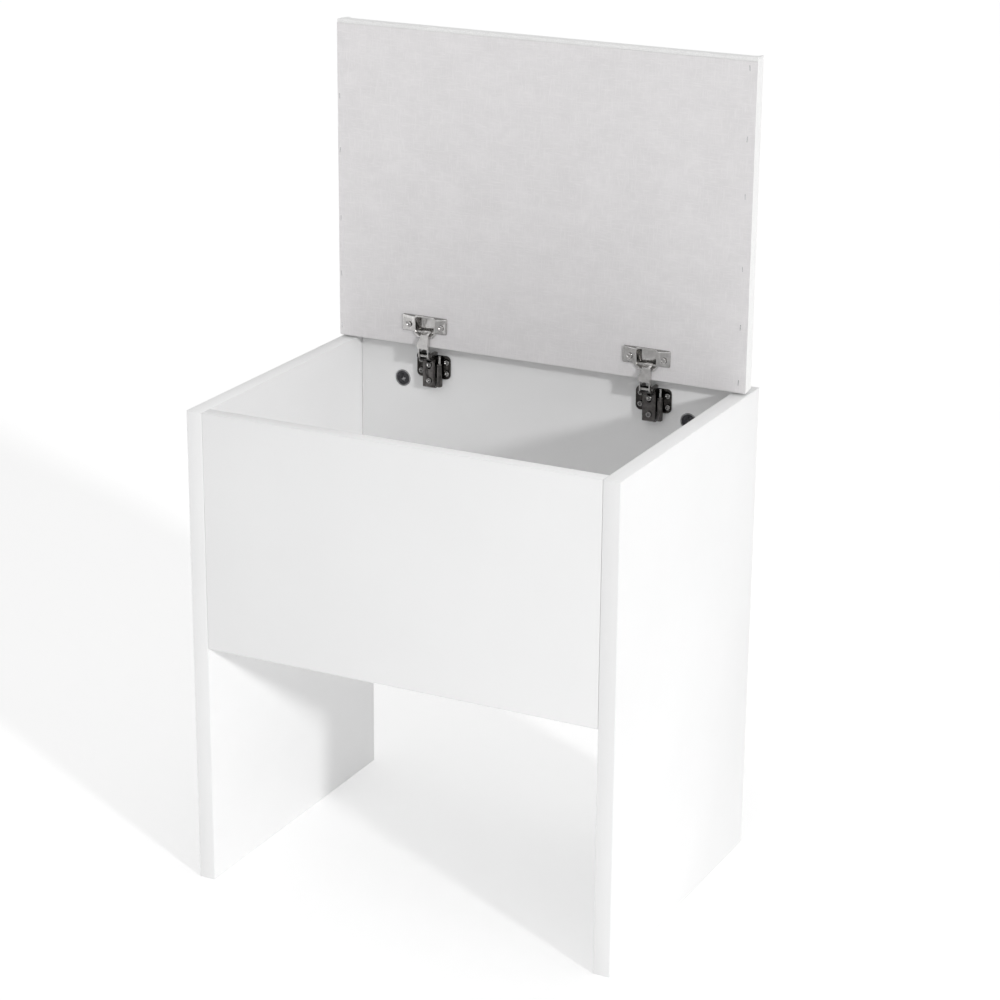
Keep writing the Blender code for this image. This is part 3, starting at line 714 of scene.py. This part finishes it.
def cup_outline(grow):
    """Cup mouth seen from the front, about the hinge's middle: widens upwards, cut corners."""
    low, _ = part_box("hinge_cup_left")
    base = low.z
    right = []
    for index, (up, half) in enumerate(CUP_SHAPE):
        shift = -grow if index == 0 else grow if index == len(CUP_SHAPE) - 1 else 0.0
        right.append((half * MM + grow, base + up * MM + shift))
    return right + [(-x, z) for x, z in reversed(right)]


def cup_recesses(grow, under):
    """Tools that open the lid's layers for the hinge cups."""
    recesses = []
    for side in SIDES:
        recesses.append(prism("recess", cup_outline(grow), under - 3 * MM, under + CUP_DEPTH,
                              facing_front(hinge_x(side))))
    return recesses


def hinge_x(side):
    low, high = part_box(f"hinge_cup_{side}")
    return (low.x + high.x) / 2


def swell(item, under_y):
    """Puff the pad with a short cloth simulation, held at its underside, and keep it close."""
    before = [vertex.co.copy() for vertex in item.data.vertices]
    group = item.vertex_groups.new(name="held")
    held = [v.index for v in item.data.vertices if v.co.y < under_y + PAD_HELD]
    group.add(held, 1.0, "REPLACE")
    cloth = item.modifiers.new("cloth", "CLOTH")
    cloth.settings.use_pressure = True
    cloth.settings.uniform_pressure_force = 4.0
    cloth.settings.effector_weights.gravity = 0.0
    cloth.settings.vertex_group_mass = "held"
    cloth.settings.tension_stiffness = 25
    cloth.settings.compression_stiffness = 25
    cloth.settings.bending_stiffness = 2.0
    cloth.settings.quality = 4
    cloth.point_cache.frame_start = 1
    cloth.point_cache.frame_end = CLOTH_FRAMES
    scene = bpy.context.scene
    for step in range(1, CLOTH_FRAMES + 1):
        scene.frame_set(step)
    apply_modifiers(item)
    scene.frame_set(1)
    for vertex, start in zip(item.data.vertices, before):
        move = vertex.co - start
        if move.length > PAD_CAP:
            move = move.normalized() * PAD_CAP
        rise = min(max((start.y - under_y - PAD_HELD) / PAD_FADE, 0.0), 1.0)
        vertex.co = start + move * rise * rise * (3 - 2 * rise)
    return item


def build_pad():
    """Upholstered top: foam and leather cover wrapped round the board, crowned, pulled in at the sides."""
    low, high, under = lid_extent()
    face = low.y + PAD_FACE
    half_x = (high.x - low.x) / 2
    half_z = (high.z - low.z) / 2
    centre_z = (low.z + high.z) / 2
    work = bmesh.new()
    bmesh.ops.create_cube(work, size=1.0)
    across = [edge for edge in work.edges if abs(edge.verts[0].co.y - edge.verts[1].co.y) < 0.5]
    bmesh.ops.subdivide_edges(work, edges=across, cuts=PAD_CUTS[0], use_grid_fill=True)
    depth = [edge for edge in work.edges if abs(edge.verts[0].co.y - edge.verts[1].co.y) > 0.5]
    bmesh.ops.subdivide_edges(work, edges=depth, cuts=PAD_CUTS[1], use_grid_fill=True)
    rim_y = under + PAD_UNDER
    start_y = rim_y - PAD_TRIM
    thick = face - start_y
    for vertex in work.verts:
        x, y, z = vertex.co
        lift = (1 - abs(2 * x) ** 5) * (1 - abs(2 * z) ** 5)
        swell_y = PAD_CROWN * lift * (y + 0.5) ** 2
        waist = PAD_WAIST * math.cos(math.pi * y)
        pull_x = waist * (1 - abs(2 * z) ** 3) * (1.0 if abs(x) > 0.499 else 0.0)
        pull_z = waist * (1 - abs(2 * x) ** 3) * (1.0 if abs(z) > 0.499 else 0.0)
        vertex.co.x = 2 * x * (half_x - PAD_SIDE_INSET) - math.copysign(pull_x, x)
        vertex.co.z = centre_z + 2 * z * (half_z - PAD_SIDE_INSET) - math.copysign(pull_z, z)
        vertex.co.y = start_y + (y + 0.5) * thick + swell_y
    pad = from_bmesh("lid_upholstery", work)
    swell(pad, under)
    soften(pad, PAD_EDGE, 3, 50)
    rim_cut = box("rim_cut", (2 * low.x, start_y - 5 * MM, low.z - 50 * MM),
                  (2 * high.x, rim_y, high.z + 50 * MM))
    combine(pad, [rim_cut] + cup_recesses(RECESS_GAP, under) + pleat_tools())
    smooth(pad, 40)
    dress(pad, LEATHER, "white_leather", LID, "lid_cover", "lid_foam")
    build_core()


def build_core():
    """Board inside the pad, drawn in from the wrapped edges."""
    low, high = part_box("lid_board")
    inset = Vector((CORE_INSET, 0.0, CORE_INSET))
    core = box("lid_core_board", low + inset + Vector((0, CORE_DROP, 0)), high - inset)
    combine(core, cup_recesses(CORE_RECESS_GAP, low.y))
    dress(smooth(soften(core, 0.3 * MM, 1)), SLOT_MATERIALS["fibreboard"], "fibreboard", LID, "lid_board")


def pleat_tools():
    """Thin slanted blades that cut the pleat line where the leather is folded at each corner."""
    low, high, under = lid_extent()
    blades = []
    for outer, right in ((low.x, -1.0), (high.x, 1.0)):
        for edge, along in ((low.z, 1.0), (high.z, -1.0)):
            near = edge + along * PLEAT_START
            far = edge + along * PLEAT_END
            outline = [(under - MM, far), (under - MM, far + along * PLEAT_WIDTH),
                       (under + PLEAT_HEIGHT, near + along * PLEAT_WIDTH), (under + PLEAT_HEIGHT, near)]
            middle = outer - right * PAD_SIDE_INSET
            blades.append(prism("pleat", outline, middle - PLEAT_DEPTH, middle + PLEAT_DEPTH,
                                facing_side()))
    return blades


def build_dust_cover():
    """Non-woven cloth under the lid, hem turned in, slightly puckered at each staple."""
    low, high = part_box("lid_dust_cover")
    places = staple_places()
    columns, rows = CLOTH_GRID
    work = bmesh.new()
    grid = []
    for row in range(rows + 1):
        line = []
        for column in range(columns + 1):
            x = low.x + (high.x - low.x) * column / columns
            z = low.z + (high.z - low.z) * row / rows
            inner = min(x - low.x, high.x - x, z - low.z, high.z - z)
            drape = noise.noise(Vector((x * 16, z * 22, 0.4))) * 0.10 * MM
            ripple = noise.noise(Vector((x * 60, z * 60, 2.4))) * 0.03 * MM
            hem = 0.10 * MM if inner < HEM else 0.0
            pinch = 0.0
            for place_x, place_z in places:
                near = math.hypot((x - place_x) * 1.6, z - place_z) / PINCH_REACH
                if near < 3:
                    pinch += PINCH_DEPTH * math.exp(-near * near)
            y = low.y + CLOTH_REST - hem * 0.6 + drape + ripple + pinch
            line.append(work.verts.new((x, max(y, low.y - CLOTH_PROUD), z)))
        grid.append(line)
    for row in range(rows):
        for column in range(columns):
            work.faces.new((grid[row][column], grid[row][column + 1],
                            grid[row + 1][column + 1], grid[row + 1][column]))
    cloth = from_bmesh("lid_dust_cloth", work)
    thick = cloth.modifiers.new("thick", "SOLIDIFY")
    thick.thickness = DUST_SHEET
    thick.offset = 0.0
    apply_modifiers(cloth)
    combine(cloth, cup_recesses(RECESS_GAP, low.y))
    smooth(cloth, 50)
    dress(cloth, NONWOVEN, "grey_nonwoven", LID, "lid_dust_cover")


def staple_places():
    """Middle of each staple on the cloth: down its two sides, unevenly, none in the top left corner."""
    low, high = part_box("lid_dust_cover")
    bottom = low.z + STAPLE_ENDS[0]
    top = high.z - STAPLE_ENDS[1]
    places = []
    for step in STAPLE_STEPS:
        z = bottom + (top - bottom) * step
        if step < 1.0:
            places.append((low.x + STAPLE_INSETS[0], z))
        places.append((high.x - STAPLE_INSETS[1], z))
    return places


def build_staples():
    """Flat wire staples pressed into the hem; one mesh of closed bars with turned-down ends."""
    low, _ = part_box("lid_dust_cover")
    half = STAPLE_HALF
    outline = [(-half, STAPLE_LEG), (-half, STAPLE_CORNER), (-half + STAPLE_CORNER, 0.0),
               (half - STAPLE_CORNER, 0.0), (half, STAPLE_CORNER), (half, STAPLE_LEG),
               (half - 0.45 * MM, STAPLE_LEG), (half - STAPLE_WIRE, STAPLE_WIRE),
               (-half + STAPLE_WIRE, STAPLE_WIRE), (-half + 0.45 * MM, STAPLE_LEG)]
    work = bmesh.new()
    for index, (x, z) in enumerate(staple_places()):
        slant = math.radians(6 * math.sin(index * 2.3))
        turn = Matrix.Rotation(math.pi / 2 + slant, 4, "Y")
        place = Matrix.Translation((x, low.y - STAPLE_PROUD, z)) @ turn
        flat = []
        for offset in (-STAPLE_FLAT, STAPLE_FLAT):
            ring = [work.verts.new(place @ Vector((across, back, offset))) for across, back in outline]
            work.faces.new(ring)
            flat.append(ring)
        for corner in range(len(outline)):
            after = (corner + 1) % len(outline)
            work.faces.new((flat[0][corner], flat[0][after], flat[1][after], flat[1][corner]))
    staples = from_bmesh("lid_staples", work)
    dress(staples, STAPLE_STEEL, "zinc_steel", LID)


# ---- hinges ----------------------------------------------------------------------------------
def screw_head(name, node, material, slot, body):
    """Pan head with a cross recess on a threaded shank, in place of a plain CAD screw."""
    low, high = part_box(node)
    middle = (low + high) / 2
    length = high.y - low.y
    place = looking_front(middle.x, low.y, middle.z)
    profile = [(0.0, -length), (1.0 * MM, 1.3 * MM - length)]
    for turn in range(THREAD_TURNS):
        at = -length + 1.5 * MM + (length - HEAD_HEIGHT - 1.8 * MM) * turn / THREAD_TURNS
        profile += [(THREAD_ROOT, at), (THREAD_CREST, at + 0.35 * MM)]
    profile += [(1.3 * MM, -HEAD_HEIGHT - 0.1 * MM), (HEAD_RADIUS, -HEAD_HEIGHT),
                (HEAD_RADIUS, -HEAD_HEIGHT * HEAD_DOME)]
    for step in range(1, 6):
        angle = math.radians(90 * step / 6)
        profile.append((HEAD_RADIUS * math.cos(angle), -HEAD_HEIGHT * HEAD_DOME * (1 - math.sin(angle))))
    profile.append((0.0, 0.0))
    head = lathe(name, profile, place, 32)
    combine(head, cross_tools("cross", place, HEAD_RADIUS * 1.35, 0.62 * MM, 0.95 * MM))
    smooth(head, 40)
    dress(head, material, slot, body, node)


def build_cup(side):
    """Pressed cup and its flange, with a low collar round the mouth."""
    x = hinge_x(side)
    node = f"hinge_cup_{side}"
    low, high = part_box(node)
    flange_low = high.z - FLANGE_HEIGHT
    place = facing_front(x)
    outline = rounded_rectangle((-FLANGE_HALF, flange_low), (FLANGE_HALF, high.z), FLANGE_CORNER)
    cup = prism(f"cup_{side}", outline, low.y, low.y + FLANGE_SHEET, place)
    inside = low.y + FLANGE_SHEET / 2
    raised = prism("raised", cup_outline(CUP_COLLAR), low.y - COLLAR_PROUD, inside, place)
    tub = prism("tub", cup_outline(0.0), inside, high.y, place)
    combine(cup, [raised, tub], "UNION")
    pin_low, pin_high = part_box(f"cup_pin_{side}")
    pin = (pin_low + pin_high) / 2
    mouth = prism("mouth", cup_outline(-CUP_WALL), low.y - 2 * MM, high.y - CUP_WALL, place)
    bore = rod("bore", (x - 13 * MM, pin.y, pin.z), (x + 13 * MM, pin.y, pin.z), EYE_BORE)
    tools = [mouth, bore]
    for letter in "ab":
        screw_low, screw_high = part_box(f"cup_screw_{letter}_{side}")
        at = (screw_low + screw_high) / 2
        tools.append(rod("hole", (at.x, low.y - MM, at.z), (at.x, low.y + 2 * MM, at.z), SCREW_HOLE))
    combine(cup, tools)
    smooth(soften(cup, 0.18 * MM, 2, 40), 40)
    dress(cup, BRIGHT_NICKEL, "nickel_steel", LID, node)
    for letter in "ab":
        screw_head(f"cup_screw_head_{letter}_{side}", f"cup_screw_{letter}_{side}", BRIGHT_NICKEL,
                   "nickel_steel", LID)


def joint_point(name):
    found = [joint for joint in frame["record"]["behaviour"]["joints"] if joint["name"] == name]
    return Vector(found[0]["pos_m"])


def build_link(side):
    """Goose-neck link: stepped cheeks between the pins, a web with a clipped corner, a hood."""
    x = hinge_x(side)
    lower = joint_point(f"link_{side}_swing")
    upper = joint_point("lid_hinge")
    low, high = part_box(f"hinge_link_{side}")
    half = (high.x - low.x) / 2
    front = low.y
    step_z = lower.z + LINK_STEP
    neck_z = upper.z - 1.2 * MM
    foot = arc((lower.y, lower.z), LOWER_EYE, 190, 370, 17)
    foot += [(LINK_REAR, lower.z + 5.5 * MM), (LINK_REAR, step_z), (front, step_z),
             (front, lower.z + 5.0 * MM)]
    head = [(front, step_z - 1.5 * MM), (LINK_REAR, step_z - 1.5 * MM), (LINK_REAR, upper.z - 2.4 * MM)]
    head += arc((upper.y, upper.z), UPPER_EYE, -60, 150, 17)
    head += [(front, neck_z)]
    spans = ((foot, -half, LINK_SHEET - half), (head, -0.5 * half, LINK_SHEET - 0.5 * half),
             (foot, half - LINK_SHEET, half), (head, half - LINK_SHEET, half))
    pieces = [prism("cheek", outline, start, end, facing_side(x)) for outline, start, end in spans]
    hood = [(front, step_z), (front, neck_z)] + arc((upper.y, upper.z), UPPER_EYE, 150, 50, 9)
    hood += arc((upper.y, upper.z), HOOD_INNER, 50, 150, 9)
    hood += [(front + LINK_SHEET, upper.z - 1.9 * MM), (front + LINK_SHEET, step_z)]
    pieces.append(prism("hood", hood, -0.5 * half, half, facing_side(x)))
    web_low, web_top = (lower.z + height for height in WEB_SPAN)
    web = [(-WEB_LEFT, web_low), (half, web_low), (half, web_top), (-0.5 * half, web_top),
           (-WEB_LEFT, web_top - WEB_SLANT)]
    link = prism(f"link_{side}", web, front, front + LINK_SHEET, facing_front(x))
    combine(link, pieces, "UNION")
    eyes = []
    for point in (lower, upper):
        eyes.append(rod("eye", (x - THROUGH, point.y, point.z), (x + THROUGH, point.y, point.z), EYE_BORE))
    combine(link, eyes)
    smooth(soften(link, 0.2 * MM, 2, 35), 40)
    dress(link, BRIGHT_NICKEL, "nickel_steel", f"link_{side}", f"hinge_link_{side}")


def build_arm(side):
    """Mounting arm: channel over the plate, slot for the fixing screw, stepped shoulders."""
    x = hinge_x(side)
    node = f"hinge_arm_{side}"
    low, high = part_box(node)
    pin = joint_point(f"link_{side}_swing")
    half = (high.x - low.x) / 2
    rear = high.y
    outline = [(rear, low.z), (ARM_FACE + ARM_ROUND, low.z)]
    outline += arc((ARM_FACE + ARM_ROUND, low.z + ARM_ROUND), ARM_ROUND, 270, 180, 6)
    outline += [(ARM_FACE, pin.z - ARM_SHOULDER)]
    outline += arc((pin.y, pin.z), ARM_EYE, 235, 90, 12)
    outline += [(ARM_FACE + ARM_ROUND, pin.z + ARM_EYE), (rear, pin.z + 1.0 * MM)]
    arm = prism(f"arm_{side}", outline, -half, half, facing_side(x))
    left = x - half + ARM_SHEET
    right = x + half - ARM_SHEET
    tools = [box("channel", (left, ARM_FACE + ARM_SHEET, low.z + ARM_SHEET),
                 (right, rear + MM, pin.z - 3 * MM)),
             box("head", (left, pin.y - 9 * MM, pin.z - 4 * MM), (right, rear + 2 * MM, pin.z + 8 * MM)),
             rod("pin", (x - THROUGH, pin.y, pin.z), (x + THROUGH, pin.y, pin.z), ARM_BORE)]
    for label in ("fixing", "adjusting"):
        screw_low, screw_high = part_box(f"{label}_screw_{side}")
        at = (screw_low + screw_high) / 2
        reach = SLOT_REACH[label]
        slot_outline = arc((0, at.z + reach), SCREW_HOLE, 0, 180, 12)
        slot_outline += arc((0, at.z - reach), SCREW_HOLE, 180, 360, 12)
        tools.append(prism("slot", slot_outline, ARM_FACE - MM, ARM_FACE + 2 * MM, facing_front(x)))
    combine(arm, tools)
    smooth(soften(arm, 0.18 * MM, 2, 40), 40)
    # painted reflection: the arm's darkened base colour stands in for dark reflections
    dress(arm, NICKEL_PAINTED_MID_REFLECTION, "nickel_steel", CARCASS, node)
    for label in ("fixing", "adjusting"):
        screw_head(f"{label}_screw_head_{side}", f"{label}_screw_{side}", SCREW_STEEL,
                   "nickel_steel", CARCASS)


def build_plate(side):
    """Mounting plate with a pressed rim and pan-head screws."""
    x = hinge_x(side)
    node = f"hinge_plate_{side}"
    low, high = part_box(node)
    outline = rounded_rectangle((low.x - x, low.z), (high.x - x, high.z), PLATE_CORNER)
    plate = prism(f"plate_{side}", outline, low.y, high.y, facing_front(x))
    border = rounded_rectangle((low.x - x + PLATE_RIM, low.z + PLATE_RIM),
                               (high.x - x - PLATE_RIM, high.z - PLATE_RIM), PLATE_RIM_CORNER)
    tools = [prism("pressed", border, low.y - MM, low.y + PLATE_SINK, facing_front(x))]
    screws = [f"plate_screw_{index}_{side}" for index in (1, 2, 3, 4)]
    for screw in screws + [f"fixing_screw_{side}"]:
        screw_low, screw_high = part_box(screw)
        at = (screw_low + screw_high) / 2
        tools.append(rod("hole", (at.x, low.y - MM, at.z), (at.x, high.y + MM, at.z), SCREW_HOLE))
    combine(plate, tools)
    smooth(soften(plate, 0.15 * MM, 2, 40), 40)
    # painted reflection: the plate's near-black base colour stands in for dark reflections
    dress(plate, NICKEL_PAINTED_DARK_REFLECTION, "nickel_steel", CARCASS, node)
    for index in (1, 2, 3, 4):
        screw_head(f"plate_screw_head_{index}_{side}", f"plate_screw_{index}_{side}", SCREW_STEEL,
                   "zinc_steel", CARCASS)


def build_damper(side):
    """Soft-close cylinder with a rolled mouth and a domed foot."""
    node = f"damper_cylinder_{side}"
    low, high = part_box(node)
    middle = (low + high) / 2
    radius = (high.x - low.x) / 2
    place = Matrix.Translation((middle.x, middle.y, low.z))
    length = high.z - low.z
    profile = [(0.0, 0.0), (radius * 0.72, 0.1 * MM), (radius * 0.93, 0.5 * MM), (radius, 1.2 * MM),
               (radius, length - 2.6 * MM), (radius - 0.25 * MM, length - 2.3 * MM),
               (radius - 0.25 * MM, length - 1.7 * MM), (radius, length - 1.4 * MM),
               (radius, length - 0.3 * MM), (radius - 0.3 * MM, length), (1.7 * MM, length),
               (1.5 * MM, length - 0.3 * MM), (1.5 * MM, 3 * MM), (0.0, 3 * MM)]
    cylinder = smooth(lathe(f"damper_{side}", profile, place), 35)
    # painted reflection: the cylinder's darkened base colour stands in for dark reflections
    dress(cylinder, NICKEL_PAINTED_MID_REFLECTION, "nickel_steel", CARCASS, node)


# ---- studio ----------------------------------------------------------------------------------
def build_studio():
    floor = box("floor", (-14, -14, -0.02), (14, 14, 0.0))
    floor.data.materials.append(make_floor("pale_floor"))
    world = bpy.data.worlds.new("studio")
    bpy.context.scene.world = world
    world.use_nodes = True
    nodes = world.node_tree.nodes
    links = world.node_tree.links
    direction = nodes.new("ShaderNodeTexCoord").outputs["Generated"]
    split = nodes.new("ShaderNodeSeparateXYZ")
    height = nodes.new("ShaderNodeMapRange")
    height.inputs["From Min"].default_value = 0.0
    height.inputs["From Max"].default_value = 1.0
    height.inputs["To Min"].default_value = SKY_HORIZON
    height.inputs["To Max"].default_value = SKY_ZENITH
    links.new(direction, split.inputs[0])
    squared = nodes.new("ShaderNodeMath")
    squared.operation = "MULTIPLY"
    links.new(split.outputs["Z"], squared.inputs[0])
    links.new(split.outputs["Z"], squared.inputs[1])
    links.new(squared.outputs[0], height.inputs["Value"])
    background = nodes["Background"]
    background.inputs["Color"].default_value = (1.0, 1.0, 1.0, 1.0)
    links.new(height.outputs["Result"], background.inputs["Strength"])
    backdrop = nodes.new("ShaderNodeBackground")
    backdrop.inputs["Color"].default_value = (1.0, 1.0, 1.0, 1.0)
    backdrop.inputs["Strength"].default_value = BACKDROP
    choose = nodes.new("ShaderNodeMixShader")
    links.new(nodes.new("ShaderNodeLightPath").outputs["Is Camera Ray"], choose.inputs[0])
    links.new(background.outputs[0], choose.inputs[1])
    links.new(backdrop.outputs[0], choose.inputs[2])
    links.new(choose.outputs[0], nodes["World Output"].inputs["Surface"])
    key = bpy.data.lights.new("key", "SUN")
    key.energy = KEY_STRENGTH
    key.angle = math.radians(KEY_ANGLE)
    key_object = bpy.data.objects.new("key", key)
    bpy.context.scene.collection.objects.link(key_object)
    key_object.rotation_mode = "QUATERNION"
    key_object.rotation_quaternion = Vector(KEY_DIRECTION).to_track_quat("Z", "Y")
    bpy.context.scene.view_settings.view_transform = "Standard"
    bpy.context.scene.view_settings.look = "None"


def build_camera():
    azimuth = math.radians(CAMERA_AZIMUTH)
    elevation = math.radians(CAMERA_ELEVATION)
    roll = math.radians(CAMERA_ROLL)
    back = Vector((math.sin(azimuth) * math.cos(elevation), -math.cos(azimuth) * math.cos(elevation),
                   math.sin(elevation)))
    across = Vector((0, 0, 1)).cross(back).normalized()
    up = back.cross(across)
    turned_across = math.cos(roll) * across + math.sin(roll) * up
    turned_up = math.cos(roll) * up - math.sin(roll) * across
    camera = bpy.data.cameras.new("camera")
    camera.lens = CAMERA_LENS
    camera.sensor_width = 36
    camera.clip_end = 60
    camera_object = bpy.data.objects.new("camera", camera)
    bpy.context.scene.collection.objects.link(camera_object)
    place = Matrix((turned_across, turned_up, back)).transposed().to_4x4()
    place.translation = CAMERA_PLACE
    camera_object.matrix_world = place
    bpy.context.scene.camera = camera_object


build_camera()
build_studio()
dress_cad_nodes()
build_boards()
build_cams()
build_pad()
build_dust_cover()
build_staples()
for side in SIDES:
    build_cup(side)
    build_link(side)
    build_arm(side)
    build_plate(side)
    build_damper(side)
